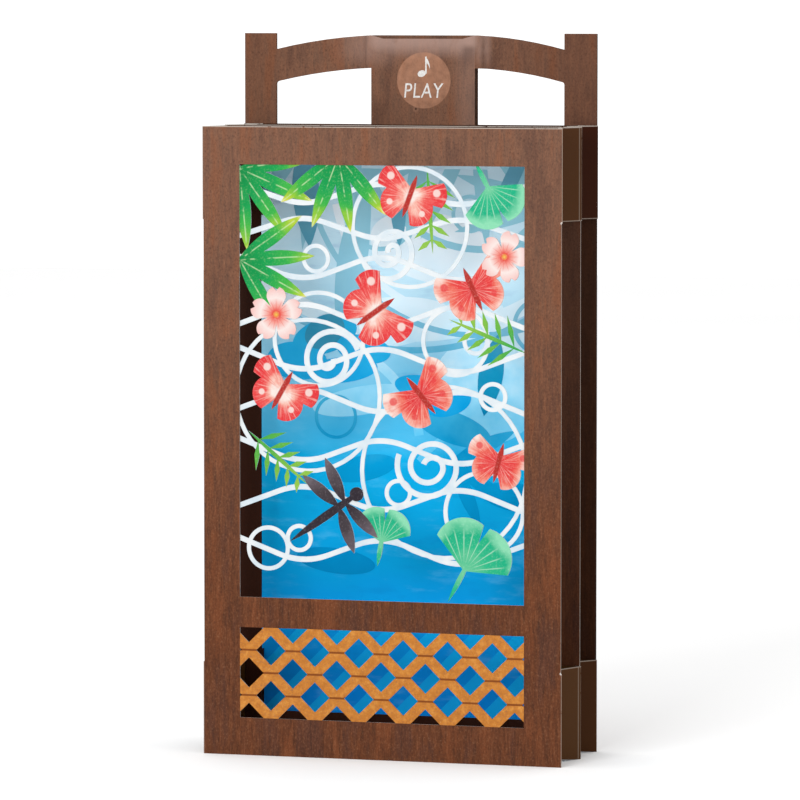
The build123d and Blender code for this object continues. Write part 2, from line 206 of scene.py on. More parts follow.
def distance_to(point, centre):
    """Distance between two points."""
    return node("VectorMath", {0: point, 1: centre}, output=1, operation="DISTANCE")


def reach_of(a, b):
    """Distance from zero of the point with the coordinates a and b."""
    return calc("SQRT", calc("ADD", calc("MULTIPLY", a, a), calc("MULTIPLY", b, b)))


def noise(place, scale, detail=3.0, roughness=0.55):
    """Cloudy pattern; scale is in cells for each metre along x, y and z."""
    stretched = node("Mapping", {"Vector": place, "Scale": scale})
    inputs = {"Vector": stretched, "Scale": 1.0, "Detail": detail, "Roughness": roughness}
    return node("TexNoise", inputs)


def even_noise(place, scale, detail=3.0, roughness=0.55):
    """Cloudy pattern with the same scale all round."""
    return noise(place, (scale, scale, scale), detail, roughness)


def stir(value, clouds, amount):
    """Value pushed up and down by clouds."""
    return calc("MULTIPLY_ADD", calc("SUBTRACT", clouds, 0.5), amount, value)


def coordinates(tree, kind):
    """Where the surface is, by one of Blender's measures: Object, Normal or UV."""
    return tree.nodes.new("ShaderNodeTexCoord").outputs[kind]


def new_print(name, roughness=0.55, metallic=0.0, gloss=0.05):
    """Empty print: returns the material and the place on the object, from which its nodes start."""
    material = bpy.data.materials.new(name)
    material.use_nodes = True
    shader = material.node_tree.nodes["Principled BSDF"]
    shader.inputs["Roughness"].default_value = roughness
    shader.inputs["Metallic"].default_value = metallic
    shader.inputs["Specular IOR Level"].default_value = gloss
    return material, coordinates(material.node_tree, "Object")


def finish_print(colour, height, strength=0.3, reach=0.04 * mm, lift=1.0):
    """Links colour and relief to the main shader; lift brightens a print that stays in the shade."""
    tree = colour.id_data
    shader = tree.nodes["Principled BSDF"]
    if lift != 1.0:
        colour = brighten(colour, lift)
    tree.links.new(colour, shader.inputs["Base Color"])
    bump = node("Bump", {"Strength": strength, "Distance": reach, "Height": height})
    tree.links.new(bump, shader.inputs["Normal"])


def dress(name, material):
    """Gives a node of the frame its finished material."""
    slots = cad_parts[name].data.materials
    slots.clear()
    slots.append(material)


print("helpers for prints are ready")

# %% [markdown]
# The wood is three noises, one on another: long upright streaks, cloudy patches and fine specks,
# with a painted sheen that makes it paler towards the top. A picture of wood would do as well, but
# it would repeat, and noise doesn't. Board is pale inside. Where its cut edges lie in shade, at the
# back, on the tabs deep in the box and round the middle panel's window, they are painted dark.


# %% Wood grain and board
# Dark board colours: painted shade for cut edges that lie in shade
edge_shade_core, tab_shade_core = ("#22150f", "#3a2820"), ("#1c100a", "#2e1d14")


def board_core(place, dark="#a8978a", light="#d8cdc2"):
    """Pale fibres of the board with a little dirt."""
    return ramp(even_noise(place, 2500), (0.3, dark), (0.7, light))


def wood_grain(place, z):
    """Brown wood print: upright streaks, cloudy patches and fine specks, with a painted sheen towards the
    top. Returns colour and relief.
    """
    streaks = noise(place, (1500, 1500, 170), 5.0, 0.7)
    patches = noise(place, (170, 170, 32), 4.0, 0.6)
    specks = noise(place, (1900, 1900, 1300), 4.0, 0.75)
    colour = ramp(streaks, (0.3, "#50301f"), (0.45, "#653a24"), (0.58, "#734329"), (0.72, "#855136"))
    # Painted sheen: the wood is paler and greyer towards the top, where the light from above catches it
    colour = tint(colour, fade(z, 30 * mm, 210 * mm), 0.3, "#a98774")
    colour = tint(colour, fade(patches, 0.52, 0.36), 0.38, "#4e3732")
    colour = tint(colour, fade(patches, 0.52, 0.66), 0.3, "#94522e")
    colour = tint(colour, fade(specks, 0.52, 0.7), 0.3, "#a87a5a")
    colour = tint(colour, fade(specks, 0.5, 0.3), 0.5, "#3a2620")
    return colour, calc("ADD", streaks, specks)


def plain_brown(place, z, low_code, high_code):
    """Plain brown print whose tone changes from the foot to the top."""
    level = calc("DIVIDE", z, card_top)
    return ramp(stir(level, even_noise(place, 220), 0.3), (0.0, low_code), (1.0, high_code))


print("wood grain and board are ready")

# %% [markdown]
# The printer inks only the faces of a sheet. The cut edge of a sheet that stands upright has a
# normal that lies in the sheet's own plane, so the surface normal tells a printed face from a cut
# edge. The folded side bands turn their printed face outwards. Along the outer edges and creases
# a pale line as thin as a hair is painted: partly worn ink with pale fibres showing through, partly
# painted highlight where the edge or crease catches the light.


# %% Cut and worn edges
# Pale lines along edges and creases: worn ink and painted highlight
wear_and_highlight_colour, wear_and_highlight_width, corner_width = "#c4b3a4", 0.35 * mm, 0.24 * mm
past_sheet, tab_depth, slit_shade = sheet * 1.05, 1 * mm, 0.15 * mm


def facing(place):
    """x, y and z of the surface normal."""
    return split(coordinates(place.id_data, "Normal"))


def wear_and_highlight_line(place, distance, width):
    """1 within a width of an edge, broken up by fibres; distance is measured from the edge."""
    fibres = even_noise(place, 700)
    return both(fade(distance, width, width * 0.5), fade(fibres, 0.25, 0.42))


def printed_faces(place, x, z, band):
    """1 on the front of a panel and on the outside of its bands and of the folds to them, else 0."""
    nx, ny, _ = facing(place)
    outward = above(calc("MULTIPLY", nx, calc("SIGN", x)), 0.3)
    fold = above(from_level(z, half_height), slit_reach)
    return either(below(ny, -0.5), both(outward, either(band, fold)))


def cut_edges(place, printed, dark, colour):
    """Print with the pale board at its cut edges, and board darkened by painted shade where dark is 1."""
    core = mix(dark, board_core(place), board_core(place, *tab_shade_core))
    return mix(printed, core, colour)


def wear_and_highlight_edges(place, x, y, z, band, corner, colour):
    """Adds the pale lines of a folded panel, partly worn ink and partly painted highlight: top edge,
    corner folds and the bands' rims and tips.
    """
    from_corner = calc("SUBTRACT", corner.x, calc("ABSOLUTE", x))
    from_top, from_middle = from_level(z, card_top), from_level(z, half_height)
    free = both(band, above(facing(place)[1], -0.9))
    at_front = below(y, corner.y + tab_depth)
    corner_line = both(wear_and_highlight_line(place, from_corner, corner_width), at_front)
    lines = either(wear_and_highlight_line(place, from_top, wear_and_highlight_width), corner_line)
    lines = either(lines, both(free, wear_and_highlight_line(place, from_level(from_middle, slit_reach), wear_and_highlight_width)))
    colour = tint(colour, lines, 0.55, wear_and_highlight_colour)
    # White board shows at the tips beside the right-hand cuts
    tip = (corner.x - sheet / 2, corner.y + sheet / 2, slit_reach)
    from_tip = distance_to(node("CombineXYZ", {0: x, 1: y, 2: from_middle}), tip)
    colour = tint(colour, fade(from_tip, 0.52 * mm, 0.4 * mm), 0.75, "#f4ece4")
    # The very top edge is paler still: worn ink and painted highlight
    return tint(colour, wear_and_highlight_line(place, from_top, 0.22 * mm), 0.6, "#e4d9cf")


print("cut and worn edges are ready")

# %% [markdown]
# The front panel carries two prints: wood grain on the frame and orange on the lattice, with a dark
# line along each row of holes where the crossed bars of a real lattice would lie over each other.
# A picture would have to be fitted to the cut holes. A print made from the place lines up by itself.


# %% Front panel print
lattice_middle, lattice_reach = (lattice_low + lattice_high) / 2, (lattice_high - lattice_low) / 2
lattice_row = lattice_reach / 2


def lattice_print(place, z):
    """Speckled orange with a dark line on each bridge."""
    specks = even_noise(place, 1900)
    colour = ramp(specks, (0.3, "#a87450"), (0.42, "#ca8038"), (0.6, "#d68a36"), (0.75, "#dba468"))
    colour = tint(colour, even_noise(place, 260), 0.4, "#d2803a")
    mottle = even_noise(place, 620)
    colour = tint(colour, fade(mottle, 0.48, 0.75), 0.5, "#f0aa55")
    colour = tint(colour, fade(mottle, 0.52, 0.25), 0.4, "#a8662c")
    from_middle = calc("SUBTRACT", z, lattice_middle)
    row = fade(calc("PINGPONG", from_middle, lattice_row / 2), 0.4 * mm, 0.22 * mm)
    row = both(row, near(from_middle, 0.0, lattice_row * 1.5))
    return tint(colour, row, 0.9, "#84431c")


front_print, place = new_print("front_print")
x, y, z = split(place)
colour, relief = wood_grain(place, z)
inside = both(near(x, 0.0, window_side), near(z, lattice_middle, lattice_reach))
colour = mix(inside, colour, lattice_print(place, z))
# The side bands lie behind the panel and are plain brown outside
band = above(y, front_face + past_sheet)
colour = mix(band, colour, plain_brown(place, z, "#583513", "#532f0f"))
colour = wear_and_highlight_edges(place, x, y, z, band, front_corner, colour)
tab = middle_face - tab_depth
# Pale line on the fold to each tab: worn ink and painted highlight
tab_fold = wear_and_highlight_line(place, from_level(y, tab), wear_and_highlight_width)
colour = tint(colour, both(band, tab_fold), 0.3, wear_and_highlight_colour)
# Painted shade darkens the cut edges of the tabs on the middle panel, and no light gets into the slits
slit = near(from_level(z, half_height), slit_reach, slit_shade)
dark = either(above(y, tab), calc("SUBTRACT", slit, band))
colour = cut_edges(place, printed_faces(place, x, z, band), dark, colour)
finish_print(colour, relief)
dress("front_panel", front_print)
print("front panel is printed")

# %% [markdown]
# The middle panel is seen past the edges of the front one and through its windows, in the shade of
# the box. It has the same wood print, with shade painted on it: darker all over and darkest away
# from its side edges. Its back is left unprinted, as on most cards.

# %% Middle panel print
shade_middle, shade_reach, shade_fade = -1.5 * mm, 53.2 * mm, 1.6 * mm
middle_print, place = new_print("middle_print")
x, y, z = split(place)
colour, relief = wood_grain(place, z)
inner = fade(from_level(x, shade_middle), shade_reach, shade_reach - shade_fade)
# Painted shade: darker all over, and darkest away from the panel's side edges
colour = tint(colour, either(both(inner, 0.93), 0.5), 1.0, "#36180d")
band = above(y, middle_face + past_sheet)
colour = mix(band, colour, plain_brown(place, z, "#49280d", "#391402"))
colour = wear_and_highlight_edges(place, x, y, z, band, middle_corner, colour)
# Painted shade darkens the cut edges of the tabs on the back panel and of the window's rim
dark = either(above(y, back_face - tab_depth), near(x, 0.0, window_side + 1 * mm))
colour = cut_edges(place, printed_faces(place, x, z, band), dark, colour)
finish_print(colour, relief)
dress("middle_panel", middle_print)
print("middle panel is printed")

# %% [markdown]
# The back panel is one sheet with two prints, and this cell has what is special in each. The water
# that shows through the windows is pale at the top and deep blue at the foot, with level marks of
# the brush. Where the sheet bends forward to the handle's block, the light catches it, so the wood
# is paler there. A glossier sheet would shine by itself, but this one is matt.


# %% Water and bends
# Painted light: prints inside the box are brightened by this factor, in place of light the box keeps out
box_lift = 1.65
bend_sheen, bend_shade = "#c4a498", "#3a211a"


def water_print(place, z):
    """Water from pale sky blue at the top down to deep blue, with fine level brush marks."""
    clouds = noise(place, (30, 30, 60), 3.0, 0.5)
    tone = stir(calc("DIVIDE", z, window_high), clouds, 0.14)
    colour = ramp(
        tone,
        (0.06, "#0886de"), (0.2, "#0995e0"), (0.33, "#069cd6"), (0.48, "#0cace2"), (0.6, "#62c2e8"),
        (0.72, "#b4e2f6"), (0.82, "#c8e9f8"), (0.95, "#d0ebf8"),
    )
    brush = noise(place, (70, 70, 260), 4.0, 0.6)
    colour = tint(colour, fade(brush, 0.52, 0.75), 0.14, "#8fd8f4")
    return tint(colour, fade(brush, 0.45, 0.25), 0.2, "#0a6fb8")


def bend_light(place, colour, x, z):
    """Painted sheen on the block's upper edge, on the bends beside it and on its right flank, and painted
    shade next to the right bend and at the block's lower left.
    """
    streaks = noise(place, (260, 260, 160), 3.0)
    high = fade(z, block_top - 11 * mm, block_top - 3 * mm)
    across = fade(from_level(x, block_middle), half_block + 5 * mm, half_block - 2 * mm)
    crown = both(across, fade(z, block_top - 7.5 * mm, block_top - 0.5 * mm), 0.62)
    left = both(high, fade(from_level(x, block_left - 1.0 * mm), 15 * mm, 0.3 * mm), 0.3)
    right = both(high, fade(from_level(x, block_right + 2.2 * mm), 3.2 * mm, 0.3 * mm), 0.42)
    glow = both(either(crown, either(left, right)), fade(streaks, 0.0, 0.5))
    colour = tint(colour, glow, 1.0, bend_sheen)
    shade = fade(from_level(x, block_right - 2.0 * mm), 3.0 * mm, 0.6 * mm)
    shade = both(shade, high, fade(z, block_top - 1.2 * mm, block_top - 3.5 * mm))
    colour = tint(colour, shade, 0.55, bend_shade)
    on_block = near(x, block_middle, half_block)
    flank = both(on_block, fade(x, block_right - 9 * mm, block_right - 2 * mm))
    colour = tint(colour, flank, 0.16, bend_sheen)
    foot = both(on_block, fade(x, block_left + 9 * mm, block_left + 1 * mm))
    foot = both(foot, fade(z, card_top + 11 * mm, card_top + 4 * mm))
    return tint(colour, foot, 0.3, bend_shade)


print("water and bends are ready")

# %% [markdown]
# On the back panel the wood of the handle meets the water behind the card's top edge. A lighter
# disc marks where to press. The cut edges of this sheet and of the cover are painted dark as shade.

# %% Back panel print
back_print, place = new_print("back_print", gloss=0.02)
x, y, z = split(place)
ny = facing(place)[1]
wood, relief = wood_grain(place, z)
wood = tint(wood, fade(x, block_right - 6 * mm, half_width), 0.42, "#532f20")
wood = tint(wood, fade(x, block_left - 20 * mm, -half_width), 0.3, "#5e3620")
wood = bend_light(place, wood, x, z)
flat = node("CombineXYZ", {0: x, 1: 0.0, 2: z})
from_disc = distance_to(flat, (disc_x, 0.0, disc_z))
disc = fade(from_disc, disc_radius + 0.15 * mm, disc_radius - 0.2 * mm)
disc_light = calc("MULTIPLY_ADD", even_noise(place, 420, 4.0), 0.9, 0.1)
across = fade(x, disc_x - disc_radius * 1.5, disc_x + disc_radius)
disc_light = calc("MULTIPLY_ADD", across, -0.09, disc_light)
wood = tint(wood, both(disc, disc_light), 1.0, "#cd9577")
# A dent at the foot of the disc, where the switch was pressed from behind: painted highlight round it and
# painted shade in it
from_dent = distance_to(flat, dent)
wood = tint(wood, fade(from_dent, 1.3 * mm, 0.5 * mm), 0.35, "#a87e68")
wood = tint(wood, fade(from_dent, 0.5 * mm, 0.2 * mm), 0.8, "#301a12")
# Painted shade: the back panel's wood below the card's top edge, inside the box, is much darker
wood = tint(wood, below(z, card_top), 0.64, "#1f0f07")
scene_part = both(near(x, scene_middle, half_scene), near(z, half_height, half_height - scene_low))
colour = mix(scene_part, wood, brighten(water_print(place, z), box_lift))
bends = both(below(y, back_face - 0.3 * mm), below(ny, -0.05))
printed = either(below(ny, -0.35), bends)
colour = mix(printed, board_core(place, *edge_shade_core), colour)
finish_print(colour, relief)
dress("back_panel", back_print)
print("back panel is printed")

# %% [markdown]
# The cover is the second sheet behind the back panel. It has the wood print on both faces.

# %% Back cover print
cover_print, place = new_print("cover_print")
wood, relief = wood_grain(place, split(place)[2])
printed = above(calc("ABSOLUTE", facing(place)[1]), 0.5)
finish_print(mix(printed, board_core(place, *edge_shade_core), wood), relief)
dress("back_cover", cover_print)
print("back cover is printed")

# %% [markdown]
# The sound unit is hidden in the handle's block, but it is real hardware and gets real finishes.
# One small recipe, a base colour with clouds and a fine relief, covers all but the circuit board,
# so that none of them is a single flat colour.


# %% Sound unit finishes
def hardware(name, dark, light, roughness, metallic=0.0, scale=900):
    """Cloudy finish between two colours, with a fine relief."""
    material, place = new_print(name, roughness, metallic, gloss=0.5)
    clouds = even_noise(place, scale, 4.0)
    finish_print(ramp(clouds, (0.3, dark), (0.7, light)), clouds, 0.2, 0.02 * mm)
    return material


# Green solder resist with paler copper tracks under it
resist, place = new_print("board", 0.35, gloss=0.5)
x, _, z = split(place)
upright = fade(calc("PINGPONG", x, 1.3 * mm), 0.35 * mm, 0.25 * mm)
level = fade(calc("PINGPONG", z, 1.9 * mm), 0.3 * mm, 0.2 * mm)
tracks = both(either(upright, level), fade(even_noise(place, 90), 0.45, 0.55))
finish_print(mix(tracks, paint("#14522c"), paint("#2f8a4d")), tracks)

finishes = {
    "sounder_plate": hardware("brass", "#a8853a", "#d9bb6a", 0.3, 1.0),
    "sounder_ceramic": hardware("ceramic", "#b8b8b2", "#dcdcd6", 0.45, 0.6),
    "foam_ring": hardware("foam", "#dcdcd2", "#f4f4ee", 0.9, scale=1600),
    "circuit_board": resist,
    "chip_cover": hardware("resin", "#070707", "#141414", 0.25),
    "coin_cell": hardware("steel", "#9c9c9c", "#c9c9c9", 0.3, 1.0),
    "cell_clip": hardware("clip_steel", "#8e8e8e", "#bdbdbd", 0.35, 1.0),
    "switch_housing": hardware("switch_black", "#101010", "#1e1e1e", 0.5),
    "switch_plunger": hardware("plunger_white", "#cfcfc9", "#e6e6e0", 0.45),
}
for name, finish in finishes.items():
    dress(name, finish)
print(len(finishes), "finishes in the handle")

# %% [markdown]
# The cut-paper picture is one white sheet, cut by a die. The sheet itself comes from the frame. Its
# print of leaves, blossoms and insects is laid on it as thin inked shapes with the same outlines as
# the cut, so that every motif can have its own colours that run along a leaf or out to a wing tip.

# %% White of the stream lines
picture_white, place = new_print("picture_print")
clouds = even_noise(place, 160)
colour = ramp(clouds, (0.3, "#d6e6f0"), (0.6, "#eff4f6"))
finish_print(colour, even_noise(place, 1500), 0.2)
dress("picture_sheet", picture_white)
print("picture sheet is white")

# %% [markdown]
# Each inked shape is an outline: straight edges and arcs, worked out in the plane of the picture.
# Places are shares of the window's width and height, as in the drawing that the sheet was cut from.


# %% Outlines
def spot(place):
    """Point of the picture at a place given as shares of the window."""
    return ((place[0] - 0.5) * window_width, window_low + place[1] * window_height)


def turned(centre, turn, along, across=0.0):
    """Point at a distance along and across a direction that is turned from the X axis."""
    c, s = cos(radians(turn)), sin(radians(turn))
    return (centre[0] + along * c - across * s, centre[1] + along * s + across * c)


def arc(start, through, end, steps=12):
    """Points on the round line from start to end, without start itself."""
    (ax, az), (bx, bz), (cx, cz) = start, through, end
    twice = 2 * (ax * (bz - cz) + bx * (cz - az) + cx * (az - bz))
    a2, b2, c2 = ax * ax + az * az, bx * bx + bz * bz, cx * cx + cz * cz
    centre_x = (a2 * (bz - cz) + b2 * (cz - az) + c2 * (az - bz)) / twice
    centre_z = (a2 * (cx - bx) + b2 * (ax - cx) + c2 * (bx - ax)) / twice
    first, middle, last = (math.atan2(z - centre_z, x - centre_x) for x, z in (start, through, end))
    sweep = (last - first) % (2 * pi)
    if (middle - first) % (2 * pi) > sweep:
        sweep -= 2 * pi
    size = math.hypot(ax - centre_x, az - centre_z)
    angles = [first + sweep * (i + 1) / steps for i in range(steps)]
    return [(centre_x + size * cos(angle), centre_z + size * sin(angle)) for angle in angles]


def ring(centre, radius, steps=48):
    """Points round a circle."""
    return [turned(centre, 360 * i / steps, radius) for i in range(steps)]


def leaf(base, turn, length, width):
    """Pointed leaf that starts at base."""
    tip = turned(base, turn, length)
    near_side = turned(base, turn, length / 2, width / 2)
    far_side = turned(base, turn, length / 2, -width / 2)
    return [base] + arc(base, near_side, tip) + arc(tip, far_side, base)[:-1]


def stroke(points, width):
    """Outline of a line of that width through the points."""
    left, right = [], []
    for i, (x, z) in enumerate(points):
        (ax, az), (bx, bz) = points[max(i - 1, 0)], points[min(i + 1, len(points) - 1)]
        run = math.hypot(bx - ax, bz - az)
        nx, nz = -(bz - az) / run * width / 2, (bx - ax) / run * width / 2
        left.append((x + nx, z + nz))
        right.append((x - nx, z - nz))
    return left + right[::-1]


print("outline tools are ready")

# %% [markdown]
# Blender fills an outline as a flat curve, gives it the ink's thickness and turns it into a mesh
# that is stood upright on its sheet. Its UV map runs along the leaf or wing, so that one material
# fits each copy however it is turned. What reaches past the window is cut off and the cut is closed.
# The sheet could be painted by masks instead, but shapes keep the colours of the motifs apart.

# %% Ink on a sheet
ink = 0.02 * mm
step = 0.002 * mm


def pick(piece):
    """Makes one object the only selected and the active one."""
    bpy.ops.object.select_all(action="DESELECT")
    piece.select_set(True)
    bpy.context.view_layer.objects.active = piece


def slab(outlines, front, back, base=(0, 0), turn=0, size=1):
    """Flat shape between two depths; more than one outline makes holes. Returns the mesh object."""
    flat = bpy.data.curves.new("outline", "CURVE")
    flat.dimensions = "2D"
    flat.fill_mode = "BOTH"
    flat.extrude = (back - front) / 2
    for outline in outlines:
        spline = flat.splines.new("POLY")
        spline.points.add(len(outline) - 1)
        for point, (x, z) in zip(spline.points, outline):
            point.co = (x, z, 0, 1)
        spline.use_cyclic_u = True
    piece = bpy.data.objects.new("outline", flat)
    bpy.context.collection.objects.link(piece)
    pick(piece)
    bpy.ops.object.convert(target="MESH")
    piece = bpy.context.object
    # The map is written before the shape is stood up
    layer = piece.data.uv_layers.get("UVMap") or piece.data.uv_layers.new(name="UVMap")
    c, s = cos(radians(turn)), sin(radians(turn))
    for loop in piece.data.loops:
        x, z, _ = piece.data.vertices[loop.vertex_index].co
        x, z = x - base[0], z - base[1]
        layer.data[loop.index].uv = ((x * c + z * s) / size, (z * c - x * s) / size)
    piece.rotation_euler = (pi / 2, 0, 0)
    piece.location = (0, (front + back) / 2, 0)
    bpy.ops.object.transform_apply(location=True, rotation=True, scale=True)
    return piece


def stack(shapes, front, back, *layout, level=0):
    """Slabs between two depths, each a little before the last, so that no faces coincide."""
    fronts = [front - (level + i) * step for i in range(len(shapes))]
    return [slab(outlines, place, back, *layout) for outlines, place in zip(shapes, fronts)]


def join(pieces, name, material):
    """Joins shapes into one named piece that rides with the card."""
    pick(pieces[0])
    for piece in pieces:
        piece.select_set(True)
    if len(pieces) > 1:
        bpy.ops.object.join()
    whole = bpy.context.object
    whole.name = whole.data.name = name
    bpy.ops.object.mode_set(mode="EDIT")
    bpy.ops.mesh.select_all(action="SELECT")
    bpy.ops.mesh.remove_doubles(threshold=0.0005 * mm)
    bpy.ops.mesh.normals_make_consistent(inside=False)
    bpy.ops.object.mode_set(mode="OBJECT")
    whole.data.materials.clear()
    whole.data.materials.append(material)
    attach(whole, "card")
    return whole


def trim(piece, left, right, low, high):
    """Cuts away what lies outside the two sides or the two levels, and closes the cuts."""
    pick(piece)
    bpy.ops.object.mode_set(mode="EDIT")
    edges = (
        ((right, 0, 0), (1, 0, 0)), ((left, 0, 0), (-1, 0, 0)),
        ((0, 0, high), (0, 0, 1)), ((0, 0, low), (0, 0, -1)),
    )
    for place, outward in edges:
        bpy.ops.mesh.select_all(action="SELECT")
        bpy.ops.mesh.bisect(plane_co=place, plane_no=outward, use_fill=True, clear_outer=True)
    bpy.ops.object.mode_set(mode="OBJECT")


picture_level, water_level = 0, 0


def lay_on_picture(motif, name, material):
    """Inks a motif's outlines on the picture sheet, before all that is there."""
    global picture_level
    outlines, layout = motif
    shapes = [[outline] for outline in outlines]
    slabs = stack(shapes, picture_front - ink, picture_front + ink, *layout, level=picture_level)
    picture_level += len(shapes)
    trim(join(slabs, name, material), *window_edges)


def lay_copies(name, draw, copies, *materials):
    """Inks every copy of a motif, with the materials in turn."""
    for i, copy in enumerate(copies):
        lay_on_picture(draw(*copy), f"{name}_{i + 1}", materials[i % len(materials)])


def lay_on_water(shapes, name, material):
    """Lays shapes on the water, painted shadows and light among them, before all that is there; a shape
    may have holes.
    """
    global water_level
    slabs = stack(shapes, back_face - ink, back_face + ink, level=water_level)
    water_level += len(shapes)
    trim(join(slabs, name, material), *scene_edges)


print("ink is", ink / mm, "mm thick")

# %% [markdown]
# A knife takes nothing away, so the board's own fibres close the cut that frees a side band. They
# are thin slabs in the ends of the front panel's four cuts, and keep the daylight out of them.

# %% Fibres in the cuts
cut_gap, cut_inner, cut_outer = 0.1 * mm, 56.2 * mm, 57.5 * mm
fibres = []
for side in (-1, 1):
    for low in (band_height, card_top - band_height - cut_gap):
        high = low + cut_gap
        corners = [(cut_inner, low), (cut_outer, low), (cut_outer, high), (cut_inner, high)]
        fibres.append(slab([[(side * x, z) for x, z in corners]], front_face, front_face + sheet))
join(fibres, "cut_fibres", front_print)
print(len(fibres), "cuts are closed")

# %% [markdown]
# Leaves are green and turn yellow towards the tip, with fine pale veins. The map's first number runs
# from the twig to the tip, and its second across the leaf, so both are drawn from it.

# %% Greens
bamboo_leaves, bamboo_spread, bamboo_width, leaf_overlap = 4, 31.0, 4.8 * mm, 1.5 * mm
bamboo_length, fern_length, fan_radius = 27.0 * mm, 27.0 * mm, 15.5 * mm
fern_pairs, fern_stem, fern_leaf_width, fan_stalk = 5, 1.3 * mm, 1.7 * mm, 1.6 * mm


def motif_map(place):
    """The map's two numbers, and the distance and angle that they give from its zero point."""
    u, v, _ = split(coordinates(place.id_data, "UV"))
    return u, v, reach_of(u, v), calc("ARCTAN2", v, u)


def finish_motif(place, colour, code, strength=0.3):
    """Lets pale paper show through the ink's grain."""
    grain = even_noise(place, 1500, 4.0, 0.7)
    finish_print(tint(colour, fade(grain, 0.5, 0.75), strength, code), grain, 0.15)


bamboo_green, place = new_print("bamboo_green")
reach, angle = motif_map(place)[2:]
run = stir(reach, even_noise(place, 150), 0.5)
colour = ramp(
    run,
    (0.05, "#0c8f48"), (0.4, "#17a352"), (0.62, "#3fb54a"), (0.8, "#93c93a"), (0.97, "#eedd4c"),
)
half_spread = radians(bamboo_spread) / 2
vein = calc("PINGPONG", calc("ADD", angle, half_spread), half_spread)
line = fade(both(vein, reach), 0.011, 0.004)
dashes = fade(even_noise(place, 300), 0.42, 0.55)
colour = tint(colour, both(line, dashes), 0.6, "#d5efbb")
finish_motif(place, colour, "#c2e8a8", 0.25)

mint, place = new_print("mint_green")
reach, angle = motif_map(place)[2:]
run = stir(reach, even_noise(place, 120), 0.7)
colour = ramp(run, (0.1, "#74cfa0"), (0.4, "#2fbd8a"), (0.75, "#1fb585"), (1.0, "#8fe0b6"))
rays = fade(calc("PINGPONG", angle, radians(7)), 0.03, 0.0)
rays = both(rays, fade(from_level(reach, 0.5), 0.4, 0.15))
colour = tint(colour, rays, 0.6, "#d2f5dc")
finish_motif(place, colour, "#bff0d4")

fern_green, place = new_print("fern_green")
u = motif_map(place)[0]
run = stir(u, even_noise(place, 90), 0.6)
colour = ramp(run, (0.0, "#2fa84e"), (0.45, "#6cb845"), (1.0, "#9cc94c"))
finish_motif(place, colour, "#d4e8a6")
print("three greens")

# %% [markdown]
# The leaves frame the picture. A spray of bamboo is a few pointed leaves from one twig, a fern adds
# pairs of leaflets to a slim stem, and a fan leaf is two halves with a notch between them. Each
# could be drawn by hand as a curve, but a function gives every copy its own place, turn and size.


# %% Bamboo, ferns and fan leaves
def bamboo(place, turn, scale):
    """Fan of pointed leaves from one twig end."""
    base, length = spot(place), scale * bamboo_length
    outlines = []
    for i in range(bamboo_leaves):
        lean = turn + (i - (bamboo_leaves - 1) / 2) * bamboo_spread
        outlines.append(leaf(turned(base, lean, -leaf_overlap), lean, length, bamboo_width))
    return outlines, (base, turn, length)


def fern(place, turn, scale):
    """Frond: a slim stem with pairs of leaflets that get shorter towards the tip."""
    base, length = spot(place), scale * fern_length
    outlines = [leaf(base, turn, length, fern_stem)]
    for i in range(fern_pairs):
        share = (i + 1) / (fern_pairs + 1)
        root, size = turned(base, turn, length * share), length * (0.42 - 0.25 * share)
        for lean in (turn - 55, turn + 55):
            belly, back = (turned(root, lean, size / 2, side * fern_leaf_width / 2) for side in (1, -1))
            outlines.append([root, belly, turned(root, lean, size), back])
    return outlines, (base, turn, length)


def fan_leaf(place, turn, scale):
    """Fan-shaped leaf in two halves, with its stalk."""
    base, radius = spot(place), scale * fan_radius
    outlines = [leaf(turned(base, turn, radius * 0.3), turn + 180, radius, fan_stalk)]
    for side in (-1, 1):
        near_rim = turned(base, turn + 4 * side, radius)
        bulge = turned(base, turn + 34 * side, radius * 1.06)
        far_rim = turned(base, turn + 66 * side, radius * 0.9)
        notch = turned(base, turn, radius * 0.62)
        outlines.append([base, notch, near_rim] + arc(near_rim, bulge, far_rim, 16))
    return outlines, (base, turn, radius)


bamboo_sprays = (
    ((0.00, 0.99), -38, 1.0), ((0.35, 1.02), -96, 0.93), ((0.00, 0.78), -12, 0.96),
)
ferns = (((0.66, 1.00), -86, 1.0), ((1.01, 0.575), 158, 1.0), ((0.03, 0.385), -40, 0.93))
fan_leaves = (((0.87, 0.955), -62, 0.8), ((0.79, 0.075), 62, 1.0), ((0.50, 0.135), 80, 0.68))
lay_copies("fern", fern, ferns, fern_green)
lay_copies("bamboo", bamboo, bamboo_sprays, bamboo_green)
lay_copies("fan_leaf", fan_leaf, fan_leaves, mint)
print(len(bamboo_sprays), "bamboo sprays,", len(ferns), "ferns and", len(fan_leaves), "fan leaves")

# %% [markdown]
# Butterflies are coral red at the wing tips and white near the body, as if painted with a wet brush.
# Blossoms are white with a coral heart. The dragonfly is a soft dark grey.

# %% Coral, blossom and slate prints
blossom_radius, butterfly_span, dragonfly_length = 8.5 * mm, 25.0 * mm, 29.0 * mm


def wing_dot(u, v, at, radius):
    """Round spot on both wings, at the place given along and out from the body."""
    along = calc("SUBTRACT", u, at[0])
    out = calc("SUBTRACT", calc("ABSOLUTE", v), at[1])
    return fade(reach_of(along, out), radius * 1.25, radius * 0.8)


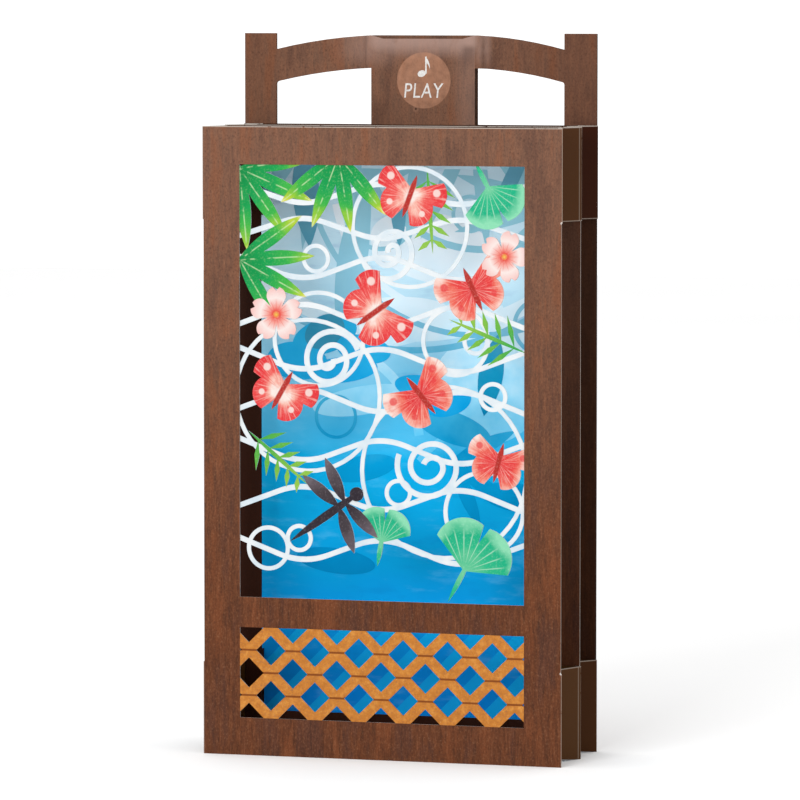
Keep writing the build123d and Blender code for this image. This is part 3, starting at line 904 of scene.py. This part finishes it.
def make_coral(name, dot, *stops):
    """Wing print whose colour runs through the stops from the body to the tips."""
    material, place = new_print(name)
    u, v, reach, angle = motif_map(place)
    run = stir(reach, even_noise(place, 210, 4.0), 0.5)
    colour = ramp(run, *stops)
    # Fine streaks of the brush run out from the body
    turns, out = calc("MULTIPLY", angle, 9.0), calc("MULTIPLY", reach, 1.6)
    around = node("CombineXYZ", {0: turns, 1: out})
    streaks = node("TexNoise", {"Vector": around, "Scale": 1.6, "Detail": 4.0, "Roughness": 0.6})
    colour = tint(colour, fade(streaks, 0.5, 0.66), 0.45, "#fbe0d4")
    colour = tint(colour, fade(streaks, 0.48, 0.34), 0.4, "#e0343a")
    colour = tint(colour, wing_dot(u, v, (0.17, 0.34), 0.05), 0.8, dot)
    colour = tint(colour, wing_dot(u, v, (-0.16, 0.24), 0.04), 0.8, dot)
    body = fade(calc("ABSOLUTE", v), 0.045, 0.025)
    colour = tint(colour, body, 1.0, "#b8322c")
    finish_motif(place, colour, "#f9c4b6", 0.3)
    return material


blossom_white, place = new_print("blossom_white")
reach, angle = motif_map(place)[2:]
colour = ramp(
    reach,
    (0.0, "#f3cc55"), (0.14, "#ea5348"), (0.3, "#f4a094"), (0.6, "#f9e9e4"), (1.0, "#f5c0ba"),
)
rays = fade(calc("PINGPONG", angle, radians(12)), 0.06, 0.0)
colour = tint(colour, both(rays, fade(reach, 0.62, 0.4)), 0.5, "#e8544a")
finish_motif(place, colour, "#fdf6f4", 0.25)

slate, place = new_print("slate")
v = motif_map(place)[1]
run = stir(calc("ABSOLUTE", v), even_noise(place, 260, 4.0), 0.35)
colour = ramp(run, (0.02, "#332c34"), (0.2, "#473f44"), (0.4, "#635960"), (0.55, "#857b82"))
finish_motif(place, colour, "#9d949b")

corals = make_coral(
    "coral", "#fbeae2",
    (0.05, "#fbeee6"), (0.14, "#f8b8a8"), (0.24, "#f0605a"), (0.38, "#ea3f42"), (0.6, "#e2343c"),
), make_coral(
    "pale_coral", "#e8484a",
    (0.08, "#e2383c"), (0.2, "#ea4442"), (0.3, "#f0705f"), (0.4, "#f7b0a0"), (0.52, "#fbe9e0"),
)
print("corals, blossom and slate")

# %% [markdown]
# Wings and petals are drawn from the body or the heart outwards. Only one side is described, and
# the other is its mirror image, which keeps the two alike.


# %% Butterflies, blossoms and dragonfly
def butterfly(place, turn, scale):
    """Two pairs of wings and a slim body."""
    centre, span = spot(place), scale * butterfly_span
    outlines = []
    for side in (-1, 1):
        def wing(along, across):
            return turned(centre, turn, span * along, span * across * side)

        hind = [wing(-0.36, 0.13), wing(-0.1, 0), wing(0.03, 0), wing(0, 0.34)]
        outlines.append(hind + arc(hind[-1], wing(-0.26, 0.33), hind[0], 16)[:-1])
        fore = [wing(0.01, 0.47), wing(-0.03, 0), wing(0.1, 0), wing(0.33, 0.38)]
        outlines.append(fore + arc(fore[-1], wing(0.2, 0.48), fore[0], 16)[:-1])
    outlines.append(leaf(turned(centre, turn, -span * 0.3), turn, span * 0.6, span * 0.1))
    return outlines, (centre, turn, span)


def blossom(place, turn, scale):
    """Five notched petals, each in two halves."""
    centre, radius = spot(place), scale * blossom_radius
    outlines = []
    for i in range(5):
        for side in (-1, 1):
            def petal(along, across):
                return turned(centre, turn + 72 * i, radius * along, radius * across * side)

            rim = arc(petal(0.6, 0.36), petal(0.87, 0.3), petal(0.99, 0.12), 8)
            outlines.append([petal(0.86, 0), petal(-0.15, 0), petal(0.6, 0.36)] + rim)
    return outlines, (centre, turn, radius)


def dragonfly(place, turn, scale):
    """Four narrow wings, a long tail and a round head."""
    centre, length = spot(place), scale * dragonfly_length
    outlines = []
    for side in (-1, 1):
        for along, lean in ((0.2, 80), (0.12, 106)):
            root = turned(centre, turn, length * along)
            outlines.append(leaf(root, turn + lean * side, length * 0.52, length * 0.13))
    outlines.append(leaf(turned(centre, turn, -length * 0.55), turn, length, length * 0.09))
    outlines.append(ring(turned(centre, turn, length * 0.36), length * 0.075))
    return outlines, (centre, turn, length)


blossoms = (((0.13, 0.655), 18, 1.0), ((0.93, 0.795), 0, 0.94))
butterflies = (
    ((0.60, 0.93), 70, 0.92), ((0.82, 0.72), 115, 0.96), ((0.48, 0.665), 35, 1.0),
    ((0.64, 0.475), 130, 0.96), ((0.15, 0.48), 60, 0.92), ((0.91, 0.325), 75, 0.84),
)
lay_copies("butterfly", butterfly, butterflies, *corals)
lay_copies("blossom", blossom, blossoms, blossom_white)
lay_on_picture(dragonfly((0.32, 0.20), 35, 1.0), "dragonfly", slate)
print(len(butterflies), "butterflies,", len(blossoms), "blossoms and a dragonfly")

# %% [markdown]
# Ripples and small whirls join the stream lines. They are cut from the same white sheet, so they
# have its thickness and its white, and stand a hair before and behind it where they cross it.

# %% Ripples and whirls
stream_width, hair = 1.7 * mm, 0.01 * mm
whirl_arcs, whirl_pitch = 4, 4.2 * mm


def ripple(place, radius, width=1.3):
    """Plain ring: its outer and inner outline. Radius and width are in millimetres."""
    return [ring(spot(place), radius * mm), ring(spot(place), radius * mm - width * mm)]


def whirl(place, turn, radius):
    """Half circles that shrink towards the middle, as one outline; the radius is in millimetres."""
    start = turned(spot(place), turn, radius * mm)
    points = [start]
    for i in range(whirl_arcs):
        size = radius * mm - i * whirl_pitch / 2
        middle = turned(start, turn + 180 * (i + 1), size)
        points += [turned(middle, turn + 180 * i + 180 * (k + 1) / 16, size) for k in range(16)]
        start = points[-1]
    return [stroke(points, stream_width)]


ripples = (
    ((0.76, 0.60), 11.0), ((0.83, 0.60), 4.2), ((0.10, 0.115), 7.0), ((0.21, 0.14), 4.4),
    ((0.89, 0.475), 4.6), ((0.56, 0.25), 4.4), ((0.27, 0.785), 4.6), ((0.86, 0.21), 13.0),
    ((0.28, 0.60), 15.0), ((0.24, 0.47), 24.0), ((0.72, 0.30), 27.0), ((0.60, 0.86), 19.0),
)
whirls = (((0.52, 0.80), 200, 8.0), ((0.33, 0.555), 20, 8.5))
curls = [ripple(*shape) for shape in ripples] + [whirl(*shape) for shape in whirls]
pieces = [
    slab(outlines, picture_front - hair - i * step, picture_back + hair + i * step)
    for i, outlines in enumerate(curls)
]
stream_curls = join(pieces, "stream_curls", picture_white)
trim(stream_curls, *window_edges)
print(stream_curls.name, len(stream_curls.data.polygons), "faces")

# %% [markdown]
# The water behind the picture has its own drawing on the back panel: painted grey-blue shadows of
# leaves, stalks and thin rings, and painted pale pools of light. A shadow takes its tone from its
# height, as the water does, so it stays a little darker or lighter than what is round it.


# %% Tones on the water
def make_water_tone(name, *stops):
    """Paint for shapes on the water, painted shadows and light among them, whose tone follows the height,
    with soft brush clouds.
    """
    material, place = new_print(name, gloss=0.0)
    clouds = even_noise(place, 110)
    level = calc("DIVIDE", split(place)[2], window_high)
    colour = ramp(stir(level, clouds, 0.2), *stops)
    finish_print(colour, clouds, 0.1, lift=box_lift)
    return material


shadow = make_water_tone(
    "water_shadow",
    (0.1, "#0a69ab"), (0.33, "#0587be"), (0.48, "#0896cc"), (0.62, "#40b0d8"), (0.77, "#8cc6dc"),
    (0.92, "#98cfe0"),
)
deep_shadow = make_water_tone(
    "water_deep",
    (0.1, "#0c5078"), (0.33, "#086ea1"), (0.48, "#087dae"), (0.62, "#168fb8"), (0.77, "#4d9cb8"),
    (0.92, "#6aaac2"),
)
pool = make_water_tone(
    "water_pool",
    (0.1, "#16a8ee"), (0.33, "#0eb0ea"), (0.48, "#4cc0ea"), (0.62, "#9cdbf5"), (0.72, "#d6effb"),
    (0.95, "#f0f7fd"),
)
vivid = make_water_tone("water_vivid", (0.4, "#0689ce"), (0.55, "#0a9ddc"), (0.7, "#2cafe2"))
print("four tones on the water")

# %% [markdown]
# The shapes are laid on from the palest to the deepest, as a painter would wash them in. Behind the
# lattice, painted light falls in slanting stripes, as far apart as the lattice's holes.


# %% Shapes on the water
def bows(*rows):
    """Lines of even width, each along the arc through three places; widths are in millimetres."""
    shapes = []
    for start, through, end, width in rows:
        first, second, third = spot(start), spot(through), spot(end)
        shapes.append([stroke([first] + arc(first, second, third, 24), width * mm)])
    return shapes


def blobs(*rows):
    """Rounded patches, each with a place, a width and height in millimetres, and a turn."""
    shapes = []
    for place, width, height, turn in rows:
        angles = [2 * pi * i / 40 for i in range(40)]
        points = [(width * mm / 2 * cos(a), height * mm / 2 * sin(a)) for a in angles]
        shapes.append([[turned(spot(place), turn, x, z) for x, z in points]])
    return shapes


def blades(*rows):
    """Single leaves, each with a place, a turn, and a length and width in millimetres."""
    return [[leaf(spot(place), turn, long * mm, wide * mm)] for place, turn, long, wide in rows]


def sprays(*rows):
    """Bamboo sprays, each outline as a shape of its own."""
    return [[outline] for row in rows for outline in bamboo(*row)[0]]


pools = blobs(
    ((0.55, 0.80), 42, 22, -12), ((0.35, 0.62), 50, 16, 8), ((0.80, 0.58), 30, 13, -20),
    ((0.74, 0.47), 36, 34, 0),
) + bows(
    ((-0.1, 0.74), (0.4, 0.6), (1.1, 0.78), 5), ((-0.1, 0.5), (0.25, 0.56), (0.5, 0.36), 3),
    ((0.2, 0.9), (0.35, 0.72), (0.8, 0.66), 2.4),
) + blobs(((0.30, 0.44), 34, 9, 10)) + bows(((0.5, 0.3), (0.8, 0.4), (1.1, 0.3), 2.2))
shadows = sprays(
    ((0.12, 1.08), -80, 1.5), ((0.70, 1.1), -100, 1.6), ((0.98, 0.9), -150, 1.3),
) + blades(
    ((0.30, 1.1), -92, 62, 7), ((0.22, 0.55), 84, 50, 9), ((0.88, 1.1), -84, 48, 8),
    ((0.52, 1.1), -98, 40, 6),
) + bows(
    ((-0.05, 0.68), (0.5, 0.56), (1.05, 0.72), 2.0), ((0.1, 0.95), (0.3, 0.7), (0.9, 0.62), 1.8),
    ((0.3, 1.0), (0.55, 0.82), (1.05, 0.9), 2.2),
) + blobs(
    ((0.62, 0.38), 26, 10, -18), ((0.30, 0.28), 22, 8, 12), ((0.85, 0.22), 24, 9, -8),
    ((0.20, 0.06), 26, 8, -6),
) + sprays(((0.62, 0.30), -20, 0.9))
deeps = sprays(((0.90, 1.06), -70, 1.2)) + blades(
    ((0.08, 1.05), -86, 34, 9), ((0.78, 0.60), -100, 26, 8), ((0.42, 0.98), -88, 24, 5),
) + blobs(((0.16, 0.60), 14, 10, 30))
vivids = blobs(
    ((0.16, 0.59), 22, 11, 18), ((0.30, 0.56), 18, 9, -8), ((0.06, 0.53), 20, 12, -4),
    ((0.22, 0.51), 24, 8, 6), ((0.52, 0.47), 20, 8, -10), ((0.60, 0.44), 16, 9, 14),
)
rings = [ripple((0.93, 0.62), 9), ripple((0.36, 0.88), 12, 1.4), ripple((0.68, 0.88), 6, 1.2),
         ripple((0.2, 0.4), 7, 1.0)]
# Painted pools of light, painted shadows of leaves, stalks and rings, vivid patches, and the deepest
# painted shadows
lay_on_water(pools, "water_pools", pool)
lay_on_water(shadows + rings, "water_shadows", shadow)
lay_on_water(vivids, "water_vivids", vivid)
lay_on_water(deeps, "water_deeps", deep_shadow)

# Painted light in slanting stripes behind the lattice
lattice_pitch, slant_start, slant_low, slant_run = 14.3 * mm, -23.3 * mm, 6 * mm, 35 * mm
slants = []
for i in range(-5, 5):
    x = slant_start + i * lattice_pitch
    ends = [(x, slant_low), (x + slant_run, slant_low + slant_run)]
    slants.append([stroke(ends, lattice_pitch * 0.36)])
lay_on_water(slants, "slants", pool)
print(water_level, "shapes on the water")

# %% [markdown]
# The word and the note on the disc are white ink. The word is a text object that is made a mesh,
# sized to its place, and stood up in front of the block. Drawn letters would be longer work for
# the same look.

# %% Word
word_low, word_high = (-4.1 * mm, 203.4 * mm), (8.7 * mm, 207.9 * mm)
ink_white, place = new_print("ink_white")
grain = even_noise(place, 1800)
finish_print(ramp(grain, (0.3, "#e0d8d0"), (0.6, "#fbf9f6")), grain, 0.1)

bpy.ops.object.select_all(action="DESELECT")
bpy.ops.object.text_add(location=(0, 0, 0))
word = bpy.context.object
word.data.body = "PLAY"
word.data.extrude = ink / 2
word.data.shear = 0.12
word.data.space_character = 1.08
bpy.ops.object.convert(target="MESH")
word = bpy.context.object
low, high = Vector(word.bound_box[0]), Vector(word.bound_box[6])
word_width, word_height = word_high[0] - word_low[0], word_high[1] - word_low[1]
word.scale = (word_width / (high.x - low.x), word_height / (high.y - low.y), 1)
bpy.ops.object.transform_apply(location=False, rotation=False, scale=True)
low = Vector(word.bound_box[0])
word.rotation_euler = (pi / 2, 0, 0)
word.location = (word_low[0] - low.x, block_face - ink / 4, word_low[1] - low.y)
bpy.ops.object.transform_apply(location=True, rotation=True, scale=True)
join([word], "word", ink_white)
print("word is", word_width / mm, "mm wide")

# %% [markdown]
# The note is three small shapes that overlap: a tilted oval head, a stem, and a flag between two
# arcs. Its places are measured from the middle of the head.

# %% Note
head_x, head_z = 1.6 * mm, 210.9 * mm
note_stem, note_height = 0.5 * mm, 5.3 * mm
stem_x, stem_z = head_x + 1.15 * mm, head_z + note_height
head = [
    (head_x + 1.28 * mm * cos(a) - 0.3 * mm * sin(a), head_z + 0.95 * mm * sin(a) + 0.4 * mm * cos(a))
    for a in (2 * pi * i / 32 for i in range(32))
]
stem = [(stem_x, head_z), (stem_x + note_stem, head_z), (stem_x + note_stem, stem_z), (stem_x, stem_z)]
flag_top, flag_tip = (stem_x + 0.1 * mm, stem_z), (stem_x + 1.5 * mm, head_z + 1.2 * mm)
flag_out, flag_in = (stem_x + 1.3 * mm, head_z + 3.3 * mm), (stem_x + 0.95 * mm, head_z + 2.8 * mm)
flag = [flag_top] + arc(flag_top, flag_out, flag_tip)
flag += arc(flag_tip, flag_in, (stem_x + 0.1 * mm, head_z + 3.6 * mm))
parts = stack([[head], [stem], [flag]], block_face - ink, block_face + ink)
join(parts, "note", ink_white)
print("note is", note_height / mm, "mm high")

# %% [markdown]
# The card stands on a pale floor under a white studio dome. One large soft light from the front left
# gives the bends a little shape, helped by the sheen painted on them. The inside of the box is darker
# by itself and by the shade painted on its panels, and prints there are brightened as painted light.

# %% Floor and light
bpy.ops.object.select_all(action="DESELECT")
bpy.ops.mesh.primitive_plane_add(size=6, location=(0, 0, 0))
floor = bpy.context.object
floor.name = "floor"
floor_paint, place = new_print("floor_paint", 0.9)
clouds = even_noise(place, 3)
finish_print(ramp(clouds, (0.3, "#fdfdfd"), (0.7, "#ffffff")), clouds, 0.05, lift=1.45)
floor.data.materials.append(floor_paint)
floor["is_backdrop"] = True

world = bpy.data.worlds.new("studio")
bpy.context.scene.world = world
world.use_nodes = True
dome = world.node_tree.nodes["Background"].inputs
dome["Color"].default_value, dome["Strength"].default_value = (1, 1, 1, 1), 1.2


def aim(thing, place, target):
    """Puts a lamp or a camera at a place and turns it towards the target."""
    bpy.context.collection.objects.link(thing)
    thing.location = place
    thing.rotation_euler = (Vector(target) - Vector(place)).to_track_quat("-Z", "Y").to_euler()


lamp = bpy.data.lights.new("key", "AREA")
lamp.size, lamp.energy = 0.8, 25
aim(bpy.data.objects.new("key", lamp), (-0.25, -1.85, 0.75), (0, 0, half_height))
bpy.context.scene.view_settings.view_transform = "Standard"
print("studio is lit")

# %% [markdown]
# The camera stands a long way off with a long lens, a little to the right and a little above, so
# the card's upright edges stay nearly parallel.

# %% Camera
azimuth, elevation, distance = radians(17.368), radians(3.967), 1797.9 * mm
target = Vector((6.168 * mm, front_face, 111.485 * mm))
camera_data = bpy.data.cameras.new("camera")
camera_data.sensor_width, camera_data.lens = 36, 263.9
camera = bpy.data.objects.new("camera", camera_data)
aim(camera, target + distance * Vector(
    (sin(azimuth) * cos(elevation), -cos(azimuth) * cos(elevation), sin(elevation))
), target)
bpy.context.scene.camera = camera
print("camera", tuple(round(c, 4) for c in camera.location))

# %% [markdown]
# The ink lies within the card's own box, so the dressed card is as large as the plain one.

# %% Sizes for comparison
low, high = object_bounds()
print("visual box", [round(c, 4) for c in low], [round(c, 4) for c in high])
